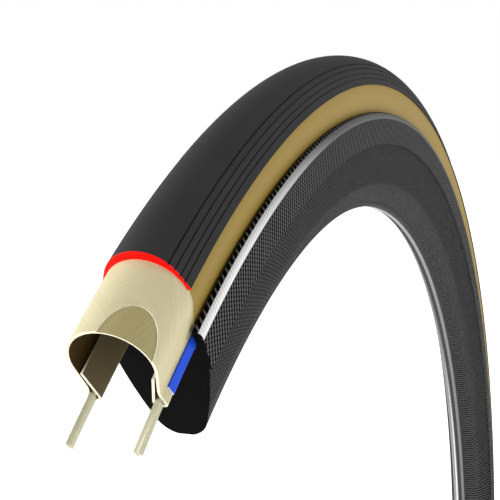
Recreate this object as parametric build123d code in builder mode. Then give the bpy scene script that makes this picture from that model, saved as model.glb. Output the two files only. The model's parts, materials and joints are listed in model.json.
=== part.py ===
from build123d import *

# Cutaway of a narrow road bicycle tyre, size 23-622, seated on a deep carbon rim. Sizes are in mm.
#
# The wheel stands upright: the origin is the wheel's centre, the axle runs along Y and Z is up. Left is
# +Y. Each section is drawn with x as the radius from the axle and y as the distance from the wheel's
# mid-plane, and is then swept round the axle. The ring is open between two cuts. At the display cut each
# layer ends a little further back than the one inside it, and at the plain cut all of them end together.

import os
from math import acos, atan2, cos, degrees, radians, sin, sqrt, tan

os.makedirs("parts", exist_ok=True)

# Where the layers end: angles from +X towards +Z, in degrees
TREAD_CUT = 123.05
RIM_CUT = 123.6
FILLER_CUT = 125.6
CHAFER_CUT = 126.4
CASING_CUT = 126.95
BEAD_CUT = 129.5
PLAIN_CUT = 150.0

BOND = 0.02  # the bond line between two layers

# Casing: two plies that follow one line from the crown, round the bead and up again inside
PLY = 0.33
CASING_CENTRE = 324.1  # radius from the axle to the middle of the tyre's round part
CASING_RADIUS = 10.17  # of the line where the plies meet
WALL_LEAN = 12.0  # how far the sidewall leans in towards the rim, in degrees
NECK = 315.7  # radius from the axle where the sidewall turns outwards again
NECK_FILLET = 3.8
FLARE = 16.0  # how far the casing leans out below the neck, in degrees
HEEL_FILLET = 0.6
TOE_FILLET = 1.0
TURN_UP = 8.6  # height of the turned-up plies
TURN_UP_LEAN = 15.0

# Beads
BEAD_SEAT = 311.0  # half of the 622 mm bead seat diameter
BEAD_CLEARANCE = 0.15  # between the casing and the rim tape
CORE_REACH = 1.08  # from the middle of a core to its corners
CORE_HOLLOW = 0.14  # depth of the hollow in each side of a core
CORE_TWIST = 15.0
CORE_FIT = 0.06  # clearance round the core

# Tread
TREAD_CENTRE = 326.5  # radius from the axle to the middle of the tread's crown arc
TREAD_RADIUS = 10.15
TREAD_HALF_WIDTH = 11.1
TREAD_EDGE = 326.4  # radius from the axle of the tread's edges
BASE = 1.0  # thickness of the red base at the crown
BASE_EDGE = 329.5  # radius from the axle where the base would thin out to nothing
BASE_TRIM = 0.5  # how far above that it ends
END_PLATE = 0.35  # the base closes the cut end of the cap with a layer this thick
GROOVES = ((46.4, 0.50), (57.5, 0.42), (68.7, 0.36), (78.4, 0.34))  # angle from the crown, width
GROOVE_DEPTH = 0.3
UNDERSIDE_FLATS = 40  # flats round a full circle on the underside of the shoulders
BELT = 0.35
BELT_HALF_ANGLE = 38.0
BELT_SETBACK = 0.8  # how far the belt ends behind the cap

# Sidewall coats and chafer strips
COAT = 0.3
COAT_GAP = 0.05  # between a coat's edges and its neighbours
CHAFER = 0.32
CHAFER_BOTTOM = 312.3
CHAFER_TOP = 314.8

# Rim
RIM_EDGE = 316.5
RIM_HALF_WIDTH = 12.46
FLANGE = 2.1
HOOK = 0.35  # how far the flange's edge hooks in over the bead
HOOK_DEPTH = 2.2
FLANGE_ROUND = 2.1  # the outer corner of the flange, kept under FLANGE + HOOK - HOOK_ROUND
HOOK_ROUND = 0.3
NOSE_CENTRE = 288.0
NOSE_RADIUS = 7.0
NOSE_END = 110.0  # where the nose turns into the flank, as an angle from the crown
FLANK_STEP = 0.75  # how far the top of the flank lies inside the braking band's face
SPOKE_BED = 281.3  # radius of the flat band on the rim's inner circle
TRACK_BOTTOM = 304.9
TRACK_TOP = 314.2
TRACK = 0.6
RIM_WALL = 1.7
RIM_BRIDGE = 2.4  # thickness of the rim's floor under the well
WELL_HALF_WIDTH = 4.8
WELL_DEPTH = 2.6
WELL_SLOPE = 1.4
RIM_TAPE = 0.4
TAPE_MARGIN = 0.5  # between the tape's edges and the flanges

# Window in the outer ply at the display cut, over the right shoulder
WINDOW_ANGLE = 38.5  # from the crown to the window's middle
WINDOW_HALF_WIDTH = 6.5
WINDOW_HEIGHT = 9.4
WINDOW_CLEAR = 1.0  # how far its cutter reaches past the outer face

FAR = 60.0  # past any edge of a section


def section_plane(angle):
    """The half-plane through the axle at an angle, for a section drawn as (radius, Y)."""
    turn = radians(angle)
    return Plane(
        origin=(0, 0, 0),
        x_dir=(cos(turn), 0, sin(turn)),
        z_dir=(-sin(turn), 0, cos(turn)),
    )


def swing(cut):
    """Degrees of ring from a display-cut angle round to the plain cut."""
    return cut + 360.0 - PLAIN_CUT


def behind(cut, length):
    """The angle that lies a length along the crown behind a display-cut angle."""
    return cut - degrees(length / CASING_CENTRE)


def polar(centre, radius, angle):
    """The section point at an angle from the crown on a circle whose middle is on the mid-plane."""
    return Vector(centre + radius * cos(radians(angle)), radius * sin(radians(angle)))


def touch_angle(centre, radius, point, side):
    """Where a tangent from a section point touches such a circle, as an angle from the crown."""
    reach = point - Vector(centre, 0)
    return degrees(atan2(reach.Y, reach.X) + side * acos(radius / reach.length))


def finish(part, name):
    """Labels a piece and writes its STEP file."""
    part.label = name
    export_step(part, f"parts/{name}.step")


def make_ring(section, cut, name):
    """Sweeps a section round the axle from a display-cut angle to the plain cut."""
    with BuildPart() as ring:
        with BuildSketch(section_plane(cut)):
            add(section)
        revolve(axis=Axis.Y, revolution_arc=swing(cut))
    finish(ring.part, name)
    return ring.part


def make_pair(section, cut, name):
    """Makes a ring on the left of the mid-plane and its mirror image on the right."""
    left = make_ring(section, cut, f"{name}_left")
    with BuildPart() as right:
        add(left)
        mirror(about=Plane.XZ, mode=Mode.REPLACE)
    finish(right.part, f"{name}_right")


# ---------------------------------------------------------------- casing

# Corners of the line where the plies meet, on the left side, before they are rounded
casing_bottom = BEAD_SEAT + RIM_TAPE + BEAD_CLEARANCE + PLY
wall_top = polar(CASING_CENTRE, CASING_RADIUS, 90 + WALL_LEAN)
neck = Vector(NECK, wall_top.Y - tan(radians(WALL_LEAN)) * (wall_top.X - NECK))
heel = Vector(casing_bottom, neck.Y + tan(radians(FLARE)) * (NECK - casing_bottom))

# The core lies in the heel with a corner towards the wall, and the turn-up clears its inner corner
core_low = CORE_REACH * sin(radians(45 - CORE_TWIST))
core_wide = CORE_REACH * cos(radians(45 - CORE_TWIST))
core_radius = casing_bottom + PLY + CORE_FIT + core_wide
wall_inside = (
    heel.Y - tan(radians(FLARE)) * (core_radius - core_low - casing_bottom) - PLY / cos(radians(FLARE))
)
core_middle = Vector(core_radius, wall_inside - CORE_FIT - core_wide)
turn_up_line = core_middle.Y - core_wide - CORE_FIT - PLY / cos(radians(TURN_UP_LEAN))
turn_up_slope = tan(radians(TURN_UP_LEAN))
toe = Vector(casing_bottom, turn_up_line - turn_up_slope * (core_middle.X + core_low - casing_bottom))
turn_up_end = toe + Vector(TURN_UP, TURN_UP * turn_up_slope)


def wall_and_turn_up():
    """The line where the plies meet, from the top of the left wall round the bead to the turn-up's end."""
    rounds = [NECK_FILLET, HEEL_FILLET, TOE_FILLET]
    return FilletPolyline(wall_top, neck, heel, toe, turn_up_end, radius=rounds)


def casing_band(thickness, side):
    """The left half of a layer that lies on one side of the line where the plies meet."""
    with BuildSketch() as band:
        with BuildLine():
            CenterArc((CASING_CENTRE, 0), CASING_RADIUS, 0, 90 + WALL_LEAN)
            wall_and_turn_up()
            offset(amount=thickness, side=side)
        make_face()
    return band.sketch


def outer_layer(low, high):
    """The left half of a layer between two heights above the line where the plies meet."""
    with BuildSketch() as layer:
        add(casing_band(high, Side.RIGHT))
        add(casing_band(low, Side.RIGHT), mode=Mode.SUBTRACT)
    return layer.sketch


def both_sides(half):
    """A left half of a section with its mirror image."""
    with BuildSketch() as whole:
        add(half)
        mirror(about=Plane.XZ)
    return whole.sketch


def outside_strip(low, high):
    """A strip that keeps what lies between two radii on the outside of the left turn-up."""
    with BuildSketch() as strip:
        with Locations((low, turn_up_end.Y)):
            Rectangle(high - low, FAR, align=(Align.MIN, Align.MIN))
    return strip.sketch


inner_ply_half = casing_band(PLY, Side.LEFT)
outer_ply_half = outer_layer(BOND, PLY)
casing_skin = CASING_RADIUS + PLY  # radius of the outer ply's round part

make_ring(both_sides(inner_ply_half), CASING_CUT, "casing_inner_ply")

# The window's cutter stands on the right shoulder, with its middle on the cut plane
cut_turn = radians(CASING_CUT)
window_foot = polar(CASING_CENTRE, casing_skin, WINDOW_ANGLE)
window_lean = radians(WINDOW_ANGLE)
window_plane = Plane(
    origin=(window_foot.X * cos(cut_turn), -window_foot.Y, window_foot.X * sin(cut_turn)),
    x_dir=(sin(window_lean) * cos(cut_turn), cos(window_lean), sin(window_lean) * sin(cut_turn)),
    z_dir=(cos(window_lean) * cos(cut_turn), -sin(window_lean), cos(window_lean) * sin(cut_turn)),
)
window_depth = casing_skin - sqrt(casing_skin**2 - WINDOW_HALF_WIDTH**2) + PLY

with BuildPart() as casing_outer_ply:
    with BuildSketch(section_plane(CASING_CUT)):
        add(both_sides(outer_ply_half))
    revolve(axis=Axis.Y, revolution_arc=swing(CASING_CUT))
    with BuildSketch(window_plane.offset(-window_depth)):
        Ellipse(WINDOW_HALF_WIDTH, WINDOW_HEIGHT)
    extrude(amount=window_depth + WINDOW_CLEAR, mode=Mode.SUBTRACT)
finish(casing_outer_ply.part, "casing_outer_ply")

# ---------------------------------------------------------------- beads

with BuildSketch() as core_section:
    with BuildLine():
        for quarter in range(4):
            turn = 45 - CORE_TWIST + 90 * quarter
            here = core_middle + Vector(CORE_REACH, 0).rotate(Axis.Z, turn)
            there = core_middle + Vector(CORE_REACH, 0).rotate(Axis.Z, turn + 90)
            side_middle = (here + there) / 2
            inwards = (core_middle - side_middle).normalized()
            ThreePointArc(here, side_middle + inwards * CORE_HOLLOW, there)
    make_face()
make_pair(core_section.sketch, BEAD_CUT, "bead_core")

# The filler takes the room between the wall and the turn-up above the core
filler_low = core_middle.X + core_wide + CORE_FIT
filler_high = turn_up_end.X - PLY

with BuildSketch() as filler_section:
    with BuildLine():
        loop = wall_and_turn_up()
        Line(loop @ 1, loop @ 0)
    make_face()
    add(casing_band(PLY + BOND, Side.LEFT), mode=Mode.SUBTRACT)
    with Locations((filler_low, 0)):
        Rectangle(filler_high - filler_low, FAR, align=(Align.MIN, Align.MIN), mode=Mode.INTERSECT)
make_pair(filler_section.sketch, FILLER_CUT, "bead_filler")

# ---------------------------------------------------------------- tread


def crown_outline():
    """The tread's outer outline: a crown arc with a straight shoulder on each side."""
    edge = Vector(TREAD_EDGE, TREAD_HALF_WIDTH)
    sweep = touch_angle(TREAD_CENTRE, TREAD_RADIUS, edge, -1)
    with BuildSketch() as outline:
        with BuildLine():
            crown = CenterArc((TREAD_CENTRE, 0), TREAD_RADIUS, -sweep, 2 * sweep)
            right_edge = edge.rotate(Axis.X, 180)
            Polyline(crown @ 1, edge, right_edge, crown @ 0)
        make_face()
    return outline.sketch, sweep


tread_outline, crown_sweep = crown_outline()
base_crown = CASING_CENTRE + casing_skin + BASE
base_rim_y = sqrt(casing_skin**2 - (BASE_EDGE - CASING_CENTRE) ** 2)
base_centre = (base_crown**2 - BASE_EDGE**2 - base_rim_y**2) / (2 * (base_crown - BASE_EDGE))
base_radius = base_crown - base_centre


def groove_cutters():
    """The grooves on both shoulders, as the rectangles that cut them."""
    with BuildSketch() as cutters:
        for angle, width in GROOVES:
            past_arc = max(0, angle - crown_sweep)
            place = polar(TREAD_CENTRE, TREAD_RADIUS / cos(radians(past_arc)), angle)
            with Locations(Location(place, min(angle, crown_sweep))):
                Rectangle(2 * GROOVE_DEPTH, width)
    return both_sides(cutters.sketch)


def crown_wedge(angle):
    """A wedge from the tread's middle out past its crown, to an angle on each side."""
    with BuildSketch() as wedge:
        with BuildLine():
            left = polar(TREAD_CENTRE, FAR, angle)
            Polyline((TREAD_CENTRE, 0), left, left.rotate(Axis.X, 180), close=True)
        make_face()
    return wedge.sketch


def casing_circle(height):
    """The round part of the casing's outer face, raised by a height."""
    with BuildSketch() as circle:
        with Locations((CASING_CENTRE, 0)):
            Circle(casing_skin + height)
    return circle.sketch


grooves = groove_cutters()
first_groove = GROOVES[0][0]

with BuildSketch() as crown_section:
    add(tread_outline)
    add(grooves, mode=Mode.SUBTRACT)
    add(casing_circle(BOND), mode=Mode.SUBTRACT)
    with Locations((base_centre, 0)):
        Circle(base_radius + BOND, mode=Mode.SUBTRACT)
    add(crown_wedge(first_groove), mode=Mode.INTERSECT)

# The shoulders' undersides are narrow flats round the same two circles, so that a thin ring meshes evenly
with BuildSketch() as shoulder_section:
    with Locations((TREAD_EDGE, 0)):
        Rectangle(FAR, FAR, align=(Align.MIN, Align.MIN))
    add(tread_outline, mode=Mode.INTERSECT)
    add(grooves, mode=Mode.SUBTRACT)
    for middle, radius in ((CASING_CENTRE, casing_skin + BOND), (base_centre, base_radius + BOND)):
        with Locations((middle, 0)):
            RegularPolygon(radius, UNDERSIDE_FLATS, major_radius=False, mode=Mode.SUBTRACT)
    add(crown_wedge(first_groove + degrees(BOND / TREAD_RADIUS)), mode=Mode.SUBTRACT)

cap_cut = behind(TREAD_CUT, END_PLATE + BOND)
make_ring(crown_section.sketch, cap_cut, "tread_crown")
make_pair(shoulder_section.sketch, cap_cut, "tread_shoulder")

with BuildSketch() as belt_section:
    with Locations((CASING_CENTRE, 0)):
        Circle(casing_skin + BOND + BELT)
        Circle(casing_skin + BOND, mode=Mode.SUBTRACT)
    with BuildLine():
        belt_end = polar(CASING_CENTRE, FAR, BELT_HALF_ANGLE)
        Polyline((CASING_CENTRE, 0), belt_end, belt_end.rotate(Axis.X, 180), close=True)
    make_face(mode=Mode.INTERSECT)
make_ring(belt_section.sketch, behind(cap_cut, BELT_SETBACK), "puncture_belt")

with BuildSketch() as base_section:
    with Locations((base_centre, 0)):
        Circle(base_radius)
    add(casing_circle(BOND), mode=Mode.SUBTRACT)
    with Locations((BASE_EDGE + BASE_TRIM, 0)):
        Rectangle(FAR, FAR, align=(Align.MIN, Align.CENTER), mode=Mode.INTERSECT)

with BuildSketch() as end_plate_section:
    add(tread_outline)
    add(grooves, mode=Mode.SUBTRACT)
    add(casing_circle(BOND), mode=Mode.SUBTRACT)

with BuildSketch() as belt_slot:
    add(belt_section.sketch)
    offset(amount=BOND, kind=Kind.INTERSECTION)

plate_back = behind(TREAD_CUT, END_PLATE)

with BuildPart() as tread_base:
    with BuildSketch(section_plane(plate_back)):
        add(base_section.sketch)
    revolve(axis=Axis.Y, revolution_arc=swing(plate_back))
    with BuildSketch(section_plane(TREAD_CUT)):
        add(end_plate_section.sketch)
    revolve(axis=Axis.Y, revolution_arc=TREAD_CUT - plate_back)
    with BuildSketch(section_plane(behind(cap_cut, BELT_SETBACK - BOND))):
        add(belt_slot.sketch)
    revolve(axis=Axis.Y, revolution_arc=swing(CASING_CUT), mode=Mode.SUBTRACT)
finish(tread_base.part, "tread_base")

# ---------------------------------------------------------------- sidewall coats and chafers

with BuildSketch() as coat_section:
    add(outer_layer(PLY + BOND, PLY + BOND + COAT))
    add(outside_strip(CHAFER_TOP + COAT_GAP, TREAD_EDGE - COAT_GAP), mode=Mode.INTERSECT)
make_pair(coat_section.sketch, TREAD_CUT, "sidewall")

with BuildSketch() as chafer_section:
    add(outer_layer(PLY + BOND, PLY + BOND + CHAFER))
    add(outside_strip(CHAFER_BOTTOM, CHAFER_TOP), mode=Mode.INTERSECT)
make_pair(chafer_section.sketch, CHAFER_CUT, "chafer")

# ---------------------------------------------------------------- rim

flange_inside = RIM_HALF_WIDTH - FLANGE
well_floor = BEAD_SEAT - WELL_DEPTH
flank_top = Vector(TRACK_BOTTOM, RIM_HALF_WIDTH - FLANK_STEP)


def nose_and_flank(wall):
    """The rim's left side from the spoke bed to the braking band, moved in by a wall's thickness."""
    radius = NOSE_RADIUS - wall
    bed = SPOKE_BED + wall
    top = flank_top - Vector(0, wall)
    bed_angle = degrees(acos((bed - NOSE_CENTRE) / radius))
    Line((bed, 0), polar(NOSE_CENTRE, radius, bed_angle))
    nose = CenterArc((NOSE_CENTRE, 0), radius, bed_angle, NOSE_END - bed_angle)
    TangentArc(nose @ 1, top, tangent=nose % 1)
    return top


with BuildSketch() as rim_outline:
    with BuildLine():
        shoulder = nose_and_flank(0)
        hook_y = flange_inside - HOOK
        Line(shoulder, (TRACK_BOTTOM, RIM_HALF_WIDTH))
        FilletPolyline(
            (TRACK_BOTTOM, RIM_HALF_WIDTH),
            (RIM_EDGE, RIM_HALF_WIDTH),
            (RIM_EDGE, hook_y),
            (RIM_EDGE - HOOK_DEPTH + HOOK, hook_y),
            (RIM_EDGE - HOOK_DEPTH, flange_inside),
            (BEAD_SEAT, flange_inside),
            (BEAD_SEAT, WELL_HALF_WIDTH + WELL_SLOPE),
            (well_floor, WELL_HALF_WIDTH),
            (well_floor, 0),
            radius=[FLANGE_ROUND, HOOK_ROUND, HOOK_ROUND, 0, 0, 0, 0],
        )
        Line((well_floor, 0), (SPOKE_BED, 0))
    make_face()

with BuildSketch() as core_fill:
    with BuildLine():
        shoulder = nose_and_flank(RIM_WALL)
        ceiling = well_floor - RIM_BRIDGE
        Polyline(shoulder, (ceiling, shoulder.Y), (ceiling, 0), (SPOKE_BED + RIM_WALL, 0))
    make_face()

with BuildSketch() as core_hollow:
    add(both_sides(core_fill.sketch))
    offset(amount=BOND, kind=Kind.INTERSECTION)

with BuildSketch() as track_section:
    with Locations((TRACK_BOTTOM, RIM_HALF_WIDTH - TRACK)):
        Rectangle(TRACK_TOP - TRACK_BOTTOM, TRACK, align=(Align.MIN, Align.MIN))

with BuildSketch() as track_pocket:
    with Locations((TRACK_BOTTOM - BOND, RIM_HALF_WIDTH - TRACK - BOND)):
        Rectangle(TRACK_TOP - TRACK_BOTTOM + 2 * BOND, FAR, align=(Align.MIN, Align.MIN))

with BuildSketch() as shell_section:
    add(both_sides(rim_outline.sketch))
    add(core_hollow.sketch, mode=Mode.SUBTRACT)
    add(both_sides(track_pocket.sketch), mode=Mode.SUBTRACT)

with BuildSketch() as tape_section:
    with BuildLine():
        low = BEAD_SEAT + BOND
        floor = well_floor + BOND
        half_width = flange_inside - TAPE_MARGIN
        Polyline(
            (floor, 0),
            (floor, WELL_HALF_WIDTH),
            (low, WELL_HALF_WIDTH + WELL_SLOPE),
            (low, half_width),
            (low + RIM_TAPE, half_width),
            (low + RIM_TAPE, WELL_HALF_WIDTH + WELL_SLOPE),
            (floor + RIM_TAPE, WELL_HALF_WIDTH),
            (floor + RIM_TAPE, 0),
            close=True,
        )
    make_face()

make_ring(shell_section.sketch, RIM_CUT, "rim_shell")
make_ring(both_sides(core_fill.sketch), RIM_CUT, "rim_core")
make_ring(both_sides(tape_section.sketch), RIM_CUT, "rim_tape")
make_pair(track_section.sketch, RIM_CUT, "brake_track")
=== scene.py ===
"""Looks for a road bicycle tyre on its carbon rim, cut away at one end.

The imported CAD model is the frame. Each ring of the tyre and rim is swept again here, finely and with a
UV map along and across it, so that threads, weave and grain can follow the ring. Sections are drawn as
(radius from the axle, Y), in metres, and angles run from +X towards +Z, in degrees.
"""

import json
import logging
from collections.abc import Callable
from dataclasses import dataclass
from enum import Enum
from functools import cache
from itertools import accumulate, product
from math import acos, atan2, ceil, cos, degrees, hypot, pi, radians, sin, sqrt, tan

import bmesh
import bpy
from mathutils import Matrix, Vector

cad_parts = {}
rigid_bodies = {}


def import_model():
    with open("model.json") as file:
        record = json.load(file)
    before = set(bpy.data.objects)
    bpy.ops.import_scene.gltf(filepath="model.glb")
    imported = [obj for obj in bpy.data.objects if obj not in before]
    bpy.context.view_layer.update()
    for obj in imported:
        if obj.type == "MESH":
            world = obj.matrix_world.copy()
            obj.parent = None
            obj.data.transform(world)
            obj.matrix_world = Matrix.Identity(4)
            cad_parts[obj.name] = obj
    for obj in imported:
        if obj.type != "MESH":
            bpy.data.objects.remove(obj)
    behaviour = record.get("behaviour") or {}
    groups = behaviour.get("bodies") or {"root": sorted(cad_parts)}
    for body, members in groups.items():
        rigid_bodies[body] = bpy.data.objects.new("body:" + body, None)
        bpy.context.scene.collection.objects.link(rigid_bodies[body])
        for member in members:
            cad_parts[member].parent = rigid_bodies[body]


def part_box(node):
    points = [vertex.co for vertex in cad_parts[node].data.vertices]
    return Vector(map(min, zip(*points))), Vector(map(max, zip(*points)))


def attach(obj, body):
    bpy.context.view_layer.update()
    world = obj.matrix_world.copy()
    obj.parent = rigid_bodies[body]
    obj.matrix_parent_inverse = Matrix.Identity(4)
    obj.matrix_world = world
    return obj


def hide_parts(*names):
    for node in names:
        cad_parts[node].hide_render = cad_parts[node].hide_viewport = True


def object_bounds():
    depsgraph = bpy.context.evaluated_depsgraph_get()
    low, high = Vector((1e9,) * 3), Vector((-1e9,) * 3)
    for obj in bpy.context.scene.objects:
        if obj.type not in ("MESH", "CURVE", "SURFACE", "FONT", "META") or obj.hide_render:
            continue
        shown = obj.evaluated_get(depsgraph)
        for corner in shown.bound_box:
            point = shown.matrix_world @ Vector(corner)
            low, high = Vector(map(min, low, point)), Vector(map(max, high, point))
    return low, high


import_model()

Colour = tuple[float, float, float]
CAD_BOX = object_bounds()
BODY = "root"
MM = 0.001
SAME_PLACE = 1e-7  # metres within which two points are one
SAME_ANGLE = 1e-6  # degrees within which two angles are one
ARC_STEP = 4.0  # degrees between the points of a rounded stretch
OUTLINE_STEP = 2.0  # degrees between the points of the tread's outline
FLANK_STEPS = 16  # runs in the arc of the rim's flank
RING_STEP = 0.8  # degrees between the sections of a ring
SHARP_ANGLE = 38.0  # degrees between faces from which their edge is sharp
CUT_FACING = 0.9  # cosine between a face's normal and the ring's run from which the face is a cut
MIX_LOW, MIX_HIGH, MIX_COLOUR = 6, 7, 2  # the Mix node's colour inputs and output
LOG = logging.getLogger("tyre")


# ---- section drawing


@dataclass(frozen=True)
class Spot:
    """A point or vector of a section: its radius from the axle and its distance from the mid-plane."""

    r: float
    y: float

    def __add__(self, other: "Spot") -> "Spot":
        """The sum of two vectors."""
        return Spot(self.r + other.r, self.y + other.y)

    def __sub__(self, other: "Spot") -> "Spot":
        """The difference of two vectors."""
        return Spot(self.r - other.r, self.y - other.y)

    def __mul__(self, factor: float) -> "Spot":
        """The vector scaled."""
        return Spot(self.r * factor, self.y * factor)

    def length(self) -> float:
        """The vector's length."""
        return hypot(self.r, self.y)

    def unit(self) -> "Spot":
        """The vector's direction, with length 1."""
        return self * (1.0 / self.length())

    def angle(self) -> float:
        """The vector's angle from the crown."""
        return degrees(atan2(self.y, self.r))


def way(angle: float) -> Spot:
    """The unit vector at an angle from the crown."""
    return Spot(cos(radians(angle)), sin(radians(angle)))


def arc(centre: Spot, radius: float, start: float, end: float, steps: int = 0) -> list[Spot]:
    """Spots along an arc between two angles, with a step for every ARC_STEP unless their number is given."""
    steps = steps or max(2, ceil(abs(end - start) / ARC_STEP))
    return [centre + way(start + (end - start) * i / steps) * radius for i in range(steps + 1)]


def short_arc(centre: Spot, radius: float, start: Spot, end: Spot, steps: int = 0) -> list[Spot]:
    """Spots along the shorter arc between two spots of a circle."""
    first = (start - centre).angle()
    turn = ((end - centre).angle() - first + 180) % 360 - 180
    return arc(centre, radius, first, first + turn, steps)


def rounded(corners: list[Spot], radii: list[float]) -> list[Spot]:
    """An open outline whose inner corners are rounded.

    Args:
        corners: The outline's corners.
        radii: One radius for each corner but the first and the last. 0 keeps a sharp corner.

    Returns:
        The outline's spots.
    """
    spots = [corners[0]]
    for before, here, after, radius in zip(corners, corners[1:], corners[2:], radii):
        if radius == 0:
            spots.append(here)
            continue
        back, ahead = (before - here).unit(), (after - here).unit()
        half = acos(back.r * ahead.r + back.y * ahead.y) / 2
        centre = here + (back + ahead).unit() * (radius / sin(half))
        reach = radius / tan(half)
        spots += short_arc(centre, radius, here + back * reach, here + ahead * reach)
    return spots + [corners[-1]]


def leaving_arc(start: Spot, normal: float, end: Spot, steps: int) -> list[Spot]:
    """Spots along the arc that leaves a spot square to a normal's angle and reaches another spot."""
    chord, across = end - start, way(normal)
    radius = chord.length() ** 2 / (2 * (chord.r * across.r + chord.y * across.y))
    return short_arc(start + across * radius, abs(radius), start, end, steps)


def divided(spots: list[Spot], longest: float) -> list[Spot]:
    """The same outline with extra spots on runs longer than a length."""
    dense = [spots[0]]
    for here, there in zip(spots, spots[1:]):
        count = max(1, ceil((there - here).length() / longest))
        dense += [here + (there - here) * (i / count) for i in range(1, count + 1)]
    return dense


def mirrored(spots: list[Spot]) -> list[Spot]:
    """An outline's mirror image on the wheel's other side, in the opposite order."""
    return [Spot(spot.r, -spot.y) for spot in reversed(spots)]


class Line:
    """An open line across a section, with its outward normals and each spot's distance from its middle."""

    def __init__(self, spots: list[Spot]) -> None:
        """Works out the normals and distances of a line that is drawn from right to left over the crown."""
        self.spots = [b for a, b in zip([None, *spots], spots) if a is None or (b - a).length() > SAME_PLACE]
        runs = [there - here for here, there in zip(self.spots, self.spots[1:])]
        ways = [run.unit() for run in runs]
        self.normals: list[Spot] = []
        for before, after in zip(ways[:1] + ways, ways + ways[-1:]):
            mean = (before + after).unit()
            spread = before.r * mean.r + before.y * mean.y
            self.normals.append(Spot(mean.y, -mean.r) * (1.0 / spread))
        lengths = list(accumulate((run.length() for run in runs), initial=0.0))
        self.along = [length - lengths[-1] / 2 for length in lengths]

    def raised(self, height: float) -> list[Spot]:
        """The line moved outwards by a height."""
        return [spot + normal * height for spot, normal in zip(self.spots, self.normals)]


# ---- node trees


def arithmetic(operation: str, swapped: bool = False) -> Callable[["Value", "Value | float"], "Value"]:
    """An operator of Value, as the Math node that works it out."""

    def operator(self: "Value", other: "Value | float") -> "Value":
        """Adds the node."""
        return self.maths(operation, *((other, self) if swapped else (self, other)))

    return operator


@dataclass
class Value:
    """A socket that takes part in arithmetic, so that node maths reads as an expression."""

    tree: "Tree"
    socket: bpy.types.NodeSocket

    __add__, __radd__ = arithmetic("ADD"), arithmetic("ADD", swapped=True)
    __sub__, __rsub__ = arithmetic("SUBTRACT"), arithmetic("SUBTRACT", swapped=True)
    __mul__, __rmul__ = arithmetic("MULTIPLY"), arithmetic("MULTIPLY", swapped=True)
    __truediv__ = arithmetic("DIVIDE")

    def maths(self, operation: str, *operands: "Value | float") -> "Value":
        """Adds a Math node with these inputs and returns its output."""
        return self.tree.node("ShaderNodeMath", {"operation": operation}, dict(enumerate(operands)))

    def __abs__(self) -> "Value":
        """The value without its sign."""
        return self.maths("ABSOLUTE", self)

    def root(self) -> "Value":
        """The square root."""
        return self.maths("SQRT", self)

    def floor(self) -> "Value":
        """The whole part."""
        return self.maths("FLOOR", self)

    def fraction(self) -> "Value":
        """What is left over the whole part."""
        return self.maths("FRACT", self)

    def wave(self, period: float) -> "Value":
        """0 to 1 and back over each period, as a cosine that is 1 at 0."""
        turns = self * (2 * pi / period)
        return self.maths("COSINE", turns) * 0.5 + 0.5

    def above(self, edge: float, soft: float) -> "Value":
        """0 below an edge and 1 above it, with a soft change between."""
        inputs = {"Value": self, "From Min": edge - soft / 2, "From Max": edge + soft / 2}
        return self.tree.node("ShaderNodeMapRange", {"interpolation_type": "SMOOTHSTEP"}, inputs)


class Tree:
    """A node tree, with one method that adds any node."""

    def __init__(self, tree: bpy.types.NodeTree) -> None:
        """Keeps the tree."""
        self.tree = tree

    def node(
        self, kind: str, settings: dict | None = None, inputs: dict | None = None, output: str | int = 0
    ) -> Value:
        """Adds one node.

        Args:
            kind: The node's type.
            settings: Its properties. "captured" names the float that a capture node keeps.
            inputs: Its sockets, by name or number: a Value to link or a plain value to set.
            output: The socket that is returned.

        Returns:
            The chosen output.
        """
        made = self.tree.nodes.new(kind)
        for name, setting in (settings or {}).items():
            if name == "captured":
                made.capture_items.new("FLOAT", setting)
            else:
                setattr(made, name, setting)
        for name, given in (inputs or {}).items():
            self.feed(made.inputs[name], given)
        return Value(self, made.outputs[output])

    def feed(self, socket: bpy.types.NodeSocket, given: Value | object) -> None:
        """Links a Value to an input, or sets a plain value on it."""
        if isinstance(given, Value):
            self.tree.links.new(given.socket, socket)
        else:
            socket.default_value = given

    def axis(self, vector: Value, name: str) -> Value:
        """One coordinate of a vector."""
        return self.node("ShaderNodeSeparateXYZ", {}, {0: vector}, name)

    def vector(self, *axes: Value) -> Value:
        """A vector from its first coordinates."""
        return self.node("ShaderNodeCombineXYZ", {}, dict(enumerate(axes)), "Vector")


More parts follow.
